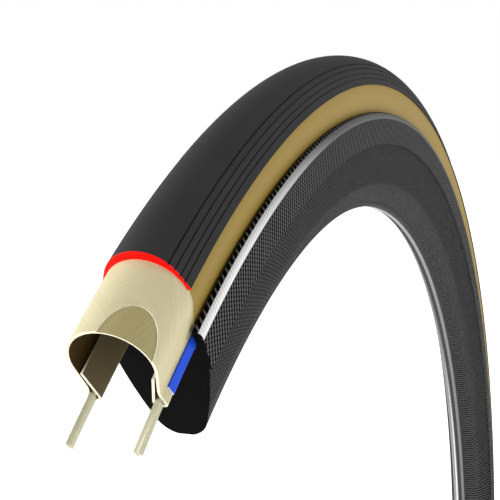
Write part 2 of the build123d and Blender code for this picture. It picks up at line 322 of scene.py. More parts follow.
class Graph(Tree):
    """A material's node tree."""

    def __init__(self, name: str) -> None:
        """Makes an empty material with an output node."""
        self.material = bpy.data.materials.new(name)
        self.material.use_nodes = True
        super().__init__(self.material.node_tree)
        self.tree.nodes.clear()
        self.output = self.tree.nodes.new("ShaderNodeOutputMaterial")

    def uv(self) -> tuple[Value, Value]:
        """Metres along the ring and across its section, from the piece's own UV map."""
        where = self.node("ShaderNodeUVMap", {"uv_map": "UVMap"}, {}, "UV")
        return self.axis(where, "X"), self.axis(where, "Y")

    def place(self) -> Value:
        """Object coordinates."""
        return self.node("ShaderNodeTexCoord", {}, {}, "Object")

    def zone(self, name: str) -> Value:
        """A share from 0 to 1 that the mesh carries on its faces."""
        return self.node("ShaderNodeAttribute", {"attribute_name": name}, {}, "Fac")

    def noise(self, scale: float, detail: float, where: Value | None = None) -> Value:
        """Noise from 0 to 1 on object coordinates or on a given vector."""
        inputs = {"Vector": where or self.place(), "Scale": scale, "Detail": detail}
        return self.node("ShaderNodeTexNoise", {}, inputs, "Fac")

    def blend(self, share: Value, low: Colour | Value, high: Colour | Value) -> Value:
        """A colour between two, by a share from 0 to 1."""
        low, high = (given if isinstance(given, Value) else (*given, 1.0) for given in (low, high))
        inputs = {0: share, MIX_LOW: low, MIX_HIGH: high}
        return self.node("ShaderNodeMix", {"data_type": "RGBA"}, inputs, MIX_COLOUR)

    def bump(self, height: Value, distance: float, strength: float = 1.0) -> Value:
        """A normal that follows a height."""
        inputs = {"Height": height, "Distance": distance, "Strength": strength}
        return self.node("ShaderNodeBump", {}, inputs, "Normal")

    def surface(self, **inputs: "Value | float | tuple") -> bpy.types.Material:
        """Ends the graph in a Principled shader, whose inputs are named with underscores for spaces."""
        named = {name.replace("_", " "): given for name, given in inputs.items()}
        self.feed(self.output.inputs["Surface"], self.node("ShaderNodeBsdfPrincipled", {}, named, "BSDF"))
        return self.material


# ---- finishes


@dataclass(frozen=True)
class Finish:
    """What every finish has: the record's slot, two colours between which it varies, and its cut face's."""

    slot: str
    low: Colour
    high: Colour
    cut: Colour = (0.02, 0.02, 0.02)
    roughness: float = 0.5
    specular: float = 0.1
    spread: float = 0.1  # between the least and the most rough places

    @cache
    def material(self) -> bpy.types.Material:
        """The finish as a material, made once."""
        return self.build(Graph(f"{self.slot}_look"))

    def gloss(self, share: Value) -> Value:
        """The roughness, which a share moves by half the spread to either side."""
        return share * self.spread + (self.roughness - self.spread / 2)

    def build(self, graph: Graph) -> bpy.types.Material:
        """Fills the graph. Each finish has its own."""
        raise NotImplementedError


@dataclass(frozen=True)
class Rubber(Finish):
    """Moulded rubber with a fine grain and faint moulding haze."""

    spread: float = 0.12
    cloud: float = 38.0
    grain: float = 5200.0
    depth: float = 0.02 * MM

    def build(self, graph: Graph) -> bpy.types.Material:
        """Mottled colour, grain in the normal and a slightly uneven gloss."""
        cloud = graph.noise(self.cloud, 5.0)
        return graph.surface(
            Base_Color=graph.blend(graph.zone("cut"), graph.blend(cloud, self.low, self.high), self.cut),
            Roughness=self.gloss(cloud),
            Specular_IOR_Level=self.specular,
            Normal=graph.bump(graph.noise(self.grain, 2.0), self.depth),
        )


@dataclass(frozen=True)
class Threads(Finish):
    """A rubbered ply of parallel threads laid on the bias, with painted shade on the faces marked inside."""

    cut: Colour = (0.72, 0.69, 0.53)
    roughness: float = 0.55
    # dark brown painted shade for the ply's faces inside the tyre and on the turn-ups
    inside: Colour = (0.045, 0.026, 0.005)
    pitch: float = 0.3 * MM
    bias: float = 45.0
    depth: float = 0.03 * MM
    cloud: float = 60.0
    shares: tuple[float, float, float] = (0.6, 0.15, 0.25)  # of the wave, the single thread and the cloud in the colour

    def build(self, graph: Graph) -> bpy.types.Material:
        """Threads as a wave across the bias, each a little different from the next, darkened by painted shade where the
        mesh marks inside.
        """
        along, across = graph.uv()
        lay = way(self.bias)
        course = along * lay.r + across * lay.y
        wave = course.wave(self.pitch)
        number = graph.vector((course / self.pitch).floor())
        thread = graph.node("ShaderNodeTexWhiteNoise", {"noise_dimensions": "3D"}, {"Vector": number}, "Value")
        cloud = graph.noise(self.cloud, 3.0)
        mixed = wave * self.shares[0] + thread * self.shares[1] + cloud * self.shares[2]
        face = graph.blend(mixed, self.low, self.high)
        # painted shade: faces marked inside take the dark inside colour
        shaded = graph.blend(graph.zone("inside"), face, self.inside)
        return graph.surface(
            Base_Color=graph.blend(graph.zone("cut"), shaded, self.cut),
            Roughness=self.gloss(cloud),
            Specular_IOR_Level=self.specular,
            Normal=graph.bump(wave, self.depth, 0.6),
        )


@dataclass(frozen=True)
class CarbonWeave(Finish):
    """Twill carbon cloth: tows that step along slanted ribs, a painted highlight on the lip and a lacquered nose."""

    cut: Colour = (0.005, 0.005, 0.005)
    roughness: float = 0.6
    specular: float = 0.01
    # colour of the painted highlight on the lip, which stands in for reflected light
    thread: Colour = (0.75, 0.75, 0.755)
    tow_along: float = 0.46 * MM
    tow_across: float = 0.98 * MM
    period: int = 4
    depth: float = 0.06 * MM
    cloud: float = 90.0
    lip_low: float = 314.1 * MM  # radius from which the flange shows its lip
    lip_top: float = 10.0 * MM  # distance from the mid-plane at which its painted glints begin
    lip_side: float = 11.5 * MM  # distance at which its painted highlight begins
    lip_pitch: float = 2.6 * MM
    lip_slant: float = 1.3
    lip_soft: float = 0.3 * MM
    highlight_soft: float = 0.12 * MM
    glint_shape: tuple[float, float, float] = (0.25, 0.2, 0.3)  # strength, then length and soft end in pitches, of the painted glints
    glint_start: float = 0.25  # a painted glint's strength where it begins, as a share
    highlight_dip: float = 0.25  # how much darker the painted highlight is between its strands
    shade: float = 0.16  # what the painted highlight keeps of its paleness past the top of the ring
    highlight_fade: float = -0.36  # cosines of the bearings between which the painted highlight fades
    highlight_gone: float = -0.03
    nose_top: float = 290.0 * MM
    nose_soft: float = 2.0 * MM
    bed_middle: float = 0.9 * MM
    bed: float = 0.8 * MM
    far_edge: float = 4.2 * MM
    far_soft: float = 1.5 * MM
    coats: tuple[float, float, float] = (0.05, 0.6, 0.5)  # all over, on the bed's low tows, on the far edge
    lacquer: float = 2.1
    lacquer_roughness: float = 0.22

    def lip_highlight(self, along: Value, side: Value, bearing: Value) -> Value:
        """How much painted highlight the lip shows.

        Args:
            along: Distance along the ring.
            side: Distance to either side of the mid-plane.
            bearing: Cosine of the angle round the axle from the ring's front.

        Returns:
            A share: slanting painted glints on the lip's top, and on its outside a painted highlight that fades towards
                the back.
        """
        strength, share, soft = self.glint_shape
        turns = (along - side * self.lip_slant) / self.lip_pitch
        reach = self.glint_start + (1.0 - self.glint_start) * side.above(self.lip_top, self.lip_side - self.lip_top)
        glints = (1.0 - turns.fraction().above(share, soft)) * reach * strength
        # painted highlight: it fades with the bearing round the ring, as the reflected light would
        shown = 1.0 - bearing.above(self.highlight_fade, self.highlight_gone - self.highlight_fade)
        strand = (1.0 - self.highlight_dip * turns.wave(0.5)) * (self.shade + (1.0 - self.shade) * shown)
        outside = side.above(self.lip_side, self.highlight_soft)
        return (1.0 - outside) * glints + outside * strand

    def nose(self, radius: Value, left: Value, on_top: Value) -> Value:
        """How much lacquer the nose has: most along the spoke bed's middle, and some on its far edge."""
        least, low, edge = self.coats
        bed = (1.0 - abs(left - self.bed_middle).above(self.bed, self.bed)) * (low + (1.0 - low) * on_top)
        far = left.above(self.far_edge, self.far_soft) * edge
        return (1.0 - radius.above(self.nose_top, self.nose_soft)) * (least + bed + far)

    def build(self, graph: Graph) -> bpy.types.Material:
        """Tows that are on top are painted lit and raised, and those below are dark; the lip carries a painted
        highlight.
        """
        along, across = graph.uv()
        ahead, left, above = (graph.axis(graph.place(), name) for name in "XYZ")
        radius = (ahead * ahead + above * above).root()
        columns, rows = along / self.tow_along, across / self.tow_across
        step = ((columns.floor() - rows.floor()) / float(self.period)).fraction()
        on_top = 1.0 - step.above(0.5 - 0.5 / self.period, 0.02)
        raised = on_top * (1.0 - columns.wave(1.0))
        lit = raised * (1.0 - columns.wave(1.0)) * (0.8 + 0.2 * graph.noise(self.cloud, 3.0))
        on_highlight = radius.above(self.lip_low, self.lip_soft)
        tows = graph.blend(lit * (1.0 - on_highlight), self.low, self.high)
        # painted highlight on the lip: pale strands where the light would reflect, laid over the weave
        weave_and_highlight = graph.blend(on_highlight * self.lip_highlight(along, abs(left), ahead / radius), tows, self.thread)
        cut = graph.zone("cut")
        return graph.surface(
            Base_Color=graph.blend(cut, weave_and_highlight, self.cut),
            Roughness=(1.0 - on_top) * 0.15 + cut * 0.3 + self.roughness,
            Specular_IOR_Level=self.specular,
            Coat_Weight=self.nose(radius, left, on_top) * (1.0 - cut),
            Coat_IOR=self.lacquer,
            Coat_Roughness=self.lacquer_roughness,
            Normal=graph.bump(raised * (1.0 - cut), self.depth, 0.5),
        )


@dataclass(frozen=True)
class Speckled(Finish):
    """A flat moulded or cut face with a fine speckle."""

    roughness: float = 0.75
    specular: float = 0.12
    glow: float = 0.0
    scale: float = 900.0

    def build(self, graph: Graph) -> bpy.types.Material:
        """Speckled colour and a shallow grain."""
        fine = graph.noise(self.scale, 3.0)
        return graph.surface(
            Base_Color=graph.blend(fine, self.low, self.high),
            Roughness=self.gloss(fine),
            Specular_IOR_Level=self.specular,
            Emission_Color=(1.0, 1.0, 1.0, 1.0),
            Emission_Strength=self.glow,
            Normal=graph.bump(fine, 0.01 * MM, 0.3),
        )


@dataclass(frozen=True)
class Strands(Finish):
    """Bonded fibre bundles that run along the ring."""

    roughness: float = 0.45
    specular: float = 0.5
    pitch: float = 0.16 * MM
    stretch: float = 0.03  # how finely the strands vary along the ring, against across it

    def build(self, graph: Graph) -> bpy.types.Material:
        """Fine strands across the section, which wander a little along it."""
        along, across = graph.uv()
        strand = graph.noise(1.0 / self.pitch, 2.0, graph.vector(along * self.stretch, across))
        return graph.surface(
            Base_Color=graph.blend(strand, self.low, self.high),
            Roughness=self.gloss(strand),
            Specular_IOR_Level=self.specular,
            Normal=graph.bump(strand, 0.02 * MM, 0.5),
        )


class Finishes(Enum):
    """The finishes of this object's pieces and of its stage."""

    TREAD = Rubber("tread_rubber", (0.02, 0.02, 0.0204), (0.029, 0.029, 0.0294), roughness=0.68, specular=0.05)
    BASE = Rubber("base_rubber", (0.7, 0.003, 0.001), (0.8, 0.004, 0.002), (1.0, 0.003, 0.001), 0.6)
    TAN = Rubber("tan_rubber", (0.2, 0.135, 0.024), (0.235, 0.16, 0.031), (0.62, 0.56, 0.36), 0.5, 0.08)
    FILLER = Rubber("filler_rubber", (0.012, 0.009, 0.005), (0.02, 0.015, 0.008), (0.012, 0.009, 0.005), 0.7, 0.15)
    PLY = Threads("casing_cotton", (0.33, 0.29, 0.16), (0.58, 0.53, 0.35))
    INSIDE = Threads("casing_inside", (0.2, 0.165, 0.065), (0.37, 0.32, 0.16), bias=-70.0)
    BELT = Threads("belt_fabric", (0.34, 0.25, 0.08), (0.5, 0.4, 0.16), bias=60.0)
    CHAFER = Threads("blue_tape", (0.008, 0.05, 0.45), (0.012, 0.075, 0.62), (0.75, 0.78, 0.85), bias=20.0)
    CORE = Strands("core_fibre", (0.34, 0.33, 0.21), (0.44, 0.43, 0.29))
    CARBON = CarbonWeave("carbon_weave", (0.0015, 0.0015, 0.0015), (0.13, 0.13, 0.132))
    TRACK = CarbonWeave("track_weave", (0.0015, 0.0015, 0.0015), (0.2, 0.2, 0.202))
    FILL = Speckled("rim_fill", (0.005, 0.005, 0.005), (0.007, 0.007, 0.007))
    TAPE = Speckled("tape_film", (0.02, 0.02, 0.021), (0.03, 0.03, 0.032), roughness=0.6)
    FLOOR = Speckled(
        "floor", (0.86, 0.86, 0.86), (0.9, 0.9, 0.9), roughness=0.95, specular=0.05, glow=0.9, scale=30.0
    )


# ---- meshes


def placed(name: str, data: bpy.types.ID) -> bpy.types.Object:
    """A new object with this data, linked to the scene."""
    made = bpy.data.objects.new(name, data)
    bpy.context.scene.collection.objects.link(made)
    return made


def tidy_object(name: str, mesh: bpy.types.Mesh) -> bpy.types.Object:
    """An object round a mesh whose doubles are merged, normals point outwards and faces are smooth.

    Args:
        name: The object's name.
        mesh: The mesh. Faces that close a ring's ends get a share of 1 named cut, unless it has that already.

    Returns:
        The object.
    """
    work = bmesh.new()
    work.from_mesh(mesh)
    bmesh.ops.remove_doubles(work, verts=work.verts, dist=SAME_PLACE)
    bmesh.ops.recalc_face_normals(work, faces=work.faces)
    work.to_mesh(mesh)
    work.free()
    if "cut" not in mesh.attributes:
        marks = mesh.attributes.new("cut", "FLOAT", "FACE")
        for face, mark in zip(mesh.polygons, marks.data):
            along = Vector((-face.center.z, 0.0, face.center.x)).normalized()
            mark.value = float(abs(face.normal.dot(along)) > CUT_FACING)
    mesh.name = name
    mesh.shade_smooth()
    mesh.set_sharp_from_angle(angle=radians(SHARP_ANGLE))
    return placed(name, mesh)


def joined(name: str, parts: list[bpy.types.Object]) -> bpy.types.Object:
    """Plain mesh objects as one, which keeps the first one's material."""
    work = bmesh.new()
    for part in parts:
        work.from_mesh(part.data)
    mesh = bpy.data.meshes.new(name)
    work.to_mesh(mesh)
    work.free()
    mesh.materials.append(parts[0].data.materials[0])
    for part in parts:
        bpy.data.objects.remove(part)
    return tidy_object(name, mesh)


class RingSweep(Tree):
    """A Geometry Nodes tree that sweeps a closed section round the axle and maps it."""

    def __init__(self) -> None:
        """Builds the tree."""
        super().__init__(bpy.data.node_groups.new("ring_sweep", "GeometryNodeTree"))
        self.ids: dict[str, str] = {}
        for name, kind in (
            ("Section", "Object"),
            ("Path Radius", "Float"),
            ("First Angle", "Float"),
            ("Sweep Angle", "Float"),
            ("Steps", "Int"),
            ("Finish", "Material"),
        ):
            socket = self.tree.interface.new_socket(name=name, in_out="INPUT", socket_type=f"NodeSocket{kind}")
            self.ids[name] = socket.identifier
        self.tree.interface.new_socket(name="Geometry", in_out="OUTPUT", socket_type="NodeSocketGeometry")
        given = {name: self.node("NodeGroupInput", output=name) for name in self.ids}
        turns = {
            "Radius": given["Path Radius"],
            "Start Angle": given["First Angle"],
            "Sweep Angle": given["Sweep Angle"],
            "Resolution": given["Steps"],
        }
        ring = self.node("GeometryNodeCurveArc", {"mode": "RADIUS"}, turns, "Curve")
        path, along = self.captured(self.node("GeometryNodeSetCurveNormal", {"mode": "Z_UP"}, {"Curve": ring}))
        drawn = {"Object": given["Section"]}
        section = self.node("GeometryNodeObjectInfo", {"transform_space": "ORIGINAL"}, drawn, "Geometry")
        profile, across = self.captured(section)
        curves = {"Curve": path, "Profile Curve": profile, "Fill Caps": True}
        swept = self.node("GeometryNodeCurveToMesh", {}, curves, "Mesh")
        mapped = self.node(
            "GeometryNodeStoreNamedAttribute",
            {"data_type": "FLOAT2", "domain": "CORNER"},
            {"Geometry": swept, "Name": "UVMap", "Value": self.vector(along, across)},
        )
        upright = self.node("GeometryNodeTransform", {}, {"Geometry": mapped, "Rotation": (pi / 2, 0, 0)})
        real = self.node("GeometryNodeRealizeInstances", {}, {"Geometry": upright})
        dressed = self.node("GeometryNodeSetMaterial", {}, {"Geometry": real, "Material": given["Finish"]})
        self.feed(self.tree.nodes.new("NodeGroupOutput").inputs["Geometry"], dressed)

    def captured(self, curve: Value) -> tuple[Value, Value]:
        """A curve, and each of its points' length along it, kept through the sweep."""
        length = self.node("GeometryNodeSplineParameter", output="Length")
        kept = self.node("GeometryNodeCaptureAttribute", {"captured": "Length"}, {"Geometry": curve, 1: length})
        return kept, Value(self, kept.socket.node.outputs[1])

    def mesh(self, name: str, section: list[Spot], start: float, sweep: float, finish: Finishes) -> bpy.types.Object:
        """Sweeps a section and returns it as a plain mesh object.

        Args:
            name: The piece's name.
            section: The closed outline.
            start: Angle of the first section.
            sweep: How far the ring runs on from there.
            finish: What it is made of.

        Returns:
            The piece, at the origin.
        """
        path_radius = sum(spot.r for spot in section) / len(section)
        outline = bpy.data.curves.new(f"{name}_section", "CURVE")
        outline.dimensions = "3D"
        spline = outline.splines.new("POLY")
        spline.points.add(len(section) - 1)
        for point, spot in zip(spline.points, section):
            point.co = (spot.r - path_radius, spot.y, 0.0, 1.0)
        spline.use_cyclic_u = True
        drawn = placed(f"{name}_section", outline)
        carrier = placed(name, bpy.data.meshes.new(name))
        modifier = carrier.modifiers.new("sweep", "NODES")
        modifier.node_group = self.tree
        for key, given in (
            ("Section", drawn),
            ("Path Radius", path_radius),
            ("First Angle", radians(start)),
            ("Sweep Angle", radians(sweep)),
            ("Steps", ceil(sweep / RING_STEP) + 1),
            ("Finish", finish.value.material()),
        ):
            modifier[self.ids[key]] = given
        graph = bpy.context.evaluated_depsgraph_get()
        mesh = bpy.data.meshes.new_from_object(carrier.evaluated_get(graph), depsgraph=graph)
        for helper in (carrier, drawn):
            bpy.data.objects.remove(helper)
        return tidy_object(name, mesh)


# ---- sub-assemblies


@dataclass(frozen=True)
class Cuts:
    """Where each layer ends at the display cut, and where all of them end at the plain one."""

    tread: float = 123.05
    rim: float = 123.6
    filler: float = 125.6
    chafer: float = 126.4
    casing: float = 126.95
    bead: float = 129.5
    plain: float = 150.0

    @property
    def start(self) -> float:
        """The plain cut's angle, one turn back."""
        return self.plain - 360.0

    def sweep(self, cut: float) -> float:
        """Degrees of ring from a display cut round to the plain cut."""
        return cut + 360.0 - self.plain


@dataclass
class Builder:
    """What the sub-assemblies share: the sweep, the cuts and the way a piece is handed in."""

    sweeper: RingSweep
    cuts: Cuts

    def hand_in(self, piece: bpy.types.Object, node: str) -> None:
        """Puts a piece on the body in place of its CAD node, and logs how well their boxes agree."""
        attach(piece, BODY)
        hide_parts(node)
        spans = zip(zip(*piece.bound_box), *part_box(node))
        gap = max(max(abs(min(span) - low), abs(max(span) - high)) for span, low, high in spans)
        LOG.info("%s: %d faces, box within %.2f mm of its node", piece.name, len(piece.data.polygons), gap / MM)

    def ring(self, name: str, section: list[Spot], cut: float, finish: Finishes) -> None:
        """Sweeps a ring from the plain cut to a display cut, in place of the CAD node of that name."""
        piece = self.sweeper.mesh(f"{name}_skin", section, self.cuts.start, self.cuts.sweep(cut), finish)
        self.hand_in(piece, name)

    def pair(self, name: str, section: list[Spot], cut: float, finish: Finishes) -> None:
        """Makes a ring on the left and its mirror image on the right."""
        self.ring(f"{name}_left", section, cut, finish)
        self.ring(f"{name}_right", mirrored(section), cut, finish)


@dataclass
class Casing:
    """Two thread plies that follow one line from the crown, round the beads and up again inside."""

    ply: float = 0.33 * MM
    bond: float = 0.02 * MM
    centre: float = 324.1 * MM
    radius: float = 10.17 * MM
    wall_lean: float = 12.0
    neck: float = 315.7 * MM
    neck_fillet: float = 3.8 * MM
    flare: float = 16.0
    heel_fillet: float = 0.6 * MM
    toe_fillet: float = 1.0 * MM
    turn_up: float = 8.6 * MM
    turn_up_lean: float = 15.0
    bottom: float = 311.88 * MM
    core_reach: float = 1.08 * MM
    core_hollow: float = 0.14 * MM
    core_twist: float = 15.0
    core_fit: float = 0.06 * MM
    core_steps: int = 8
    window_angle: float = 38.5
    window_half_width: float = 6.95 * MM
    window_height: float = 9.4 * MM
    # share of painted shade on the turn-up's faces
    turn_up_shade: float = 0.85
    line_step: float = 0.6 * MM
    hidden_step: float = 2.4  # degrees of ring between the rows that other layers hide
    end_reach: float = 4.0  # degrees of ring over which a windowed end's rows close up
    end_rows: int = 24
    toe_room: float = 0.3 * MM  # height above the lowest spot in which the turn-up begins

    def __post_init__(self) -> None:
        """Works out the line where the plies meet, and the core's place in the heel."""
        crown = Spot(self.centre, 0)
        wall_top = crown + way(90 + self.wall_lean) * self.radius
        lean, flare, rise = tan(radians(self.wall_lean)), tan(radians(self.flare)), tan(radians(self.turn_up_lean))
        neck = Spot(self.neck, wall_top.y - lean * (wall_top.r - self.neck))
        heel = Spot(self.bottom, neck.y + flare * (self.neck - self.bottom))
        reach = way(45 - self.core_twist) * self.core_reach
        fitted = self.core_fit + reach.r
        core_radius = self.bottom + self.ply + fitted
        inside = heel.y - flare * (core_radius - reach.y - self.bottom) - self.ply / cos(radians(self.flare))
        self.core = Spot(core_radius, inside - fitted)
        line = self.core.y - fitted - self.ply / cos(radians(self.turn_up_lean))
        toe = Spot(self.bottom, line - rise * (self.core.r + reach.y - self.bottom))
        end = toe + Spot(self.turn_up, self.turn_up * rise)
        below = rounded([wall_top, neck, heel, toe, end], [self.neck_fillet, self.heel_fillet, self.toe_fillet])
        self.half = divided(arc(crown, self.radius, 0, 90 + self.wall_lean) + below[1:], self.line_step)
        self.line = Line(mirrored(self.half[1:]) + self.half)
        self.filler_low, self.filler_high = self.core.r + fitted, end.r - self.ply

    @property
    def skin(self) -> float:
        """Radius of the outer ply's round part."""
        return self.radius + self.ply

    def window(self, along: float) -> float:
        """Degrees by which the outer ply's end is cut back at a place along the line, for the display window."""
        share = (along + self.radius * radians(self.window_angle)) / self.window_half_width
        return degrees(self.window_height * sqrt(max(0.0, 1 - share * share)) / self.centre)

    def sheet(
        self, name: str, heights: tuple[float, float], finish: Finishes, backs: list[float], cuts: Cuts
    ) -> bpy.types.Object:
        """A ply as a closed sheet.

        Args:
            name: The piece's name.
            heights: Heights of its outer and inner face above the line.
            finish: What it is made of.
            backs: Degrees by which its display end is cut back at each of the line's spots.
            cuts: Where it ends.

        Returns:
            The piece, with metres along and across it as its UV map.
        """
        line, cut = self.line, cuts.casing
        rows = [cut - self.end_reach * i / self.end_rows for i in range(self.end_rows)]
        span = cuts.sweep(cut) - self.end_reach
        count = ceil(span / self.hidden_step)
        rows += [cut - self.end_reach - span * i / count for i in range(count + 1)]
        work = bmesh.new()
        uv = work.loops.layers.uv.new("UVMap")
        # the inside mark holds each face's share of painted shade
        cut_mark, inside_shade_mark = (work.faces.layers.float.new(mark) for mark in ("cut", "inside"))
        faces = []
        for face in (line.raised(height) for height in heights):
            verts = []
            for row in rows:
                share = max(0.0, 1.0 - (cut - row) / self.end_reach)
                ways = [way(row - back * share) for back in backs]
                verts.append([work.verts.new((s.r * w.r, s.y, s.r * w.y)) for s, w in zip(face, ways)])
            faces.append(verts)
        outer, inner = faces

        def quad(corners: list[tuple[list, int, int]], is_cut: float, shade_share: float) -> None:
            """Adds a face from its corners' face, row and column, with its UVs, its cut share and its share of painted
            shade.
            """
            made = work.faces.new([verts[row][column] for verts, row, column in corners])
            made[cut_mark], made[inside_shade_mark] = is_cut, shade_share
            for loop, (_, row, column) in zip(made.loops, corners):
                loop[uv].uv = (radians(rows[row]) * self.centre, line.along[column])

        low = self.bottom + self.toe_room
        turned_up = max(abs(along) for spot, along in zip(line.spots, line.along) if spot.r < low)
        ends, last = len(rows) - 1, len(backs) - 1
        for i, j in product(range(ends), range(last)):
            around = ((i, j), (i, j + 1), (i + 1, j + 1), (i + 1, j))
            shade = self.turn_up_shade if abs(line.along[j]) > turned_up else 0.0
            quad([(outer, *corner) for corner in around], 0.0, shade)
            quad([(inner, *corner) for corner in around], 0.0, 1.0)
        edges = [((i, j), (i + 1, j)) for i in range(ends) for j in (0, last)]
        edges += [((i, j), (i, j + 1)) for i in (0, ends) for j in range(last)]
        for here, there in edges:
            quad([(outer, *here), (outer, *there), (inner, *there), (inner, *here)], 1.0, 0.0)
        mesh = bpy.data.meshes.new(name)
        work.to_mesh(mesh)
        work.free()
        mesh.materials.append(finish.value.material())
        return tidy_object(name, mesh)

    def build(self, builder: Builder) -> None:
        """Makes the plies, the cores and the fillers."""
        window = [self.window(along) for along in self.line.along]
        plain = [0.0] * len(window)
        for name, heights, finish, backs in (
            ("outer_ply", (self.ply, self.bond), Finishes.PLY, window),
            ("inner_ply", (0.0, -self.ply), Finishes.INSIDE, plain),
        ):
            sheet = self.sheet(name, heights, finish, backs, builder.cuts)
            builder.hand_in(sheet, f"casing_{name}")
        builder.pair("bead_core", self.core_outline(), builder.cuts.bead, Finishes.CORE)
        inside = Line(self.half).raised(-self.ply - self.bond)
        filler = [spot for spot in inside if self.filler_low <= spot.r <= self.filler_high]
        builder.pair("bead_filler", filler, builder.cuts.filler, Finishes.FILLER)

    def core_outline(self) -> list[Spot]:
        """The core's section: four corners with a hollow in each side."""
        corners = [self.core + way(45 - self.core_twist + 90 * i) * self.core_reach for i in range(5)]
        outline: list[Spot] = []
        for here, there in zip(corners, corners[1:]):
            inward = (self.core - (here + there) * 0.5).unit()
            for share in (i / self.core_steps for i in range(self.core_steps)):
                hollow = self.core_hollow * 4 * share * (1 - share)
                outline.append(here + (there - here) * share + inward * hollow)
        return outline


@dataclass
class Tread:
    """A black cap in three strips over a red base, with fine grooves on both shoulders."""

    casing: Casing
    centre: float = 326.5 * MM
    radius: float = 10.15 * MM
    half_width: float = 11.1 * MM
    edge: float = 326.4 * MM
    base: float = 1.0 * MM
    base_edge: float = 329.5 * MM
    base_trim: float = 0.5 * MM
    end_plate: float = 0.35 * MM
    # each groove's angle from the crown and its width in millimetres
    grooves: tuple[tuple[float, float], ...] = ((46.4, 0.50), (57.5, 0.42), (68.7, 0.36), (78.4, 0.34))
    groove_depth: float = 0.3 * MM
    belt: float = 0.35 * MM
    belt_half_angle: float = 38.0
    belt_setback: float = 0.8 * MM
    edge_round: float = 0.06 * MM

    def __post_init__(self) -> None:
        """Works out the base's circle, the tread's lower corners and where the crown arc ends."""
        reach = Spot(self.edge - self.centre, self.half_width)
        self.sweep = reach.angle() - degrees(acos(self.radius / reach.length()))
        self.end_angle = reach.angle()
        self.middle, skin = Spot(self.casing.centre, 0), self.casing.skin
        self.seat = skin + self.casing.bond
        self.foot = Spot(self.edge, sqrt(self.seat**2 - (self.edge - self.middle.r) ** 2))
        crown = self.middle.r + skin + self.base
        edge_y = sqrt(skin**2 - (self.base_edge - self.middle.r) ** 2)
        self.base_centre = (crown**2 - self.base_edge**2 - edge_y**2) / (2 * (crown - self.base_edge))
        self.base_radius = crown - self.base_centre

    def outside(self, angle: float, depth: float = 0.0) -> Spot:
        """The spot on the tread's outer outline at an angle from the crown, sunk by a depth."""
        past = max(0.0, angle - self.sweep)
        spot = Spot(self.centre, 0) + way(angle) * (self.radius / cos(radians(past)))
        return spot - way(min(angle, self.sweep)) * depth

    def top(self, start: float, end: float) -> list[Spot]:
        """The outer outline of the left side between two angles, with the grooves that lie there."""
        lip = degrees(self.edge_round / self.radius)
        halves = [(middle, degrees(width * MM / 2 / self.radius)) for middle, width in self.grooves]
        marks = [(middle - half, middle + half) for middle, half in halves]
        spots: list[Spot] = []
        angle = start
        while angle < end - SAME_ANGLE:
            groove = next(((a, b) for a, b in marks if a - SAME_ANGLE <= angle < b - SAME_ANGLE), None)
            if groove is None:
                spots.append(self.outside(angle))
                angle = min([angle + OUTLINE_STEP, end, *(a for a, _ in marks if a > angle + SAME_ANGLE)])
                continue
            first, last = angle, min(groove[1], end)
            if first == groove[0]:
                spots += [self.outside(first - lip), self.outside(first, self.edge_round)]
            spots += [self.outside(turn, self.groove_depth) for turn in (first + lip / 2, last - lip / 2)]
            if last == groove[1]:
                spots += [self.outside(last, self.edge_round), self.outside(last + lip)]
            angle = last + 1.5 * lip
        return spots

    def under_cap(self, start: float, end: float) -> list[Spot]:
        """The cap's underside between two angles about the tread's middle: the base or the casing."""
        circles = ((self.middle.r, self.seat), (self.base_centre, self.base_radius + self.casing.bond))
        count = ceil(abs(end - start) / OUTLINE_STEP)
        spots = []
        for heading in arc(Spot(0, 0), 1.0, start, end, count):
            reaches = []
            for middle, radius in circles:
                offset = self.centre - middle
                along = -offset * heading.r
                reaches.append(along + sqrt(radius**2 - offset**2 + along**2))
            spots.append(Spot(self.centre, 0) + heading * max(reaches))
        return spots

    def build(self, builder: Builder) -> None:
        """Makes the strips of the cap, the base with its end plate, and the belt."""
        cuts = builder.cuts
        cut = cuts.tread - degrees((self.end_plate + self.casing.bond) / self.middle.r)
        gap = degrees(self.casing.bond / self.radius) / 2
        seam = self.grooves[0][0]
        left = self.top(0.0, seam - gap)
        crown = mirrored(left[1:]) + left + self.under_cap(seam - gap, gap - seam)
        builder.ring("tread_crown", crown, cut, Finishes.TREAD)
        corner = Spot(self.edge, self.half_width)
        foot_angle = (self.foot - Spot(self.centre, 0)).angle()
        shoulder = self.top(seam + gap, self.end_angle) + [corner] + self.under_cap(foot_angle, seam + gap)
        builder.pair("tread_shoulder", shoulder, cut, Finishes.TREAD)
        self.build_base(builder, self.top(0.0, self.end_angle) + [corner])
        half = self.belt_half_angle
        belt = arc(self.middle, self.seat + self.belt, -half, half) + arc(self.middle, self.seat, half, -half)
        builder.ring("puncture_belt", belt, cut - degrees(self.belt_setback / self.middle.r), Finishes.BELT)

    def build_base(self, builder: Builder, left: list[Spot]) -> None:
        """Makes the red base: a crescent round the ring and a plate that closes the cap's cut end.

        Args:
            builder: What the sub-assemblies share.
            left: The left half of the tread's outer outline.
        """
        cuts = builder.cuts
        trim = self.base_edge + self.base_trim
        high = degrees(acos((trim - self.base_centre) / self.base_radius))
        low = degrees(acos((trim - self.middle.r) / self.seat))
        crescent = arc(Spot(self.base_centre, 0), self.base_radius, -high, high)
        crescent += arc(self.middle, self.seat, low, -low)
        back = cuts.tread - degrees(self.end_plate / self.middle.r)
        foot_angle = (self.foot - self.middle).angle()
        plate = mirrored(left[1:]) + left + arc(self.middle, self.seat, foot_angle, -foot_angle)
        mesh = builder.sweeper.mesh
        ring = mesh("base_ring", crescent, cuts.start, back - cuts.start, Finishes.BASE)
        end = mesh("base_plate", plate, back, cuts.tread - back, Finishes.BASE)
        builder.hand_in(joined("tread_base_skin", [ring, end]), "tread_base")


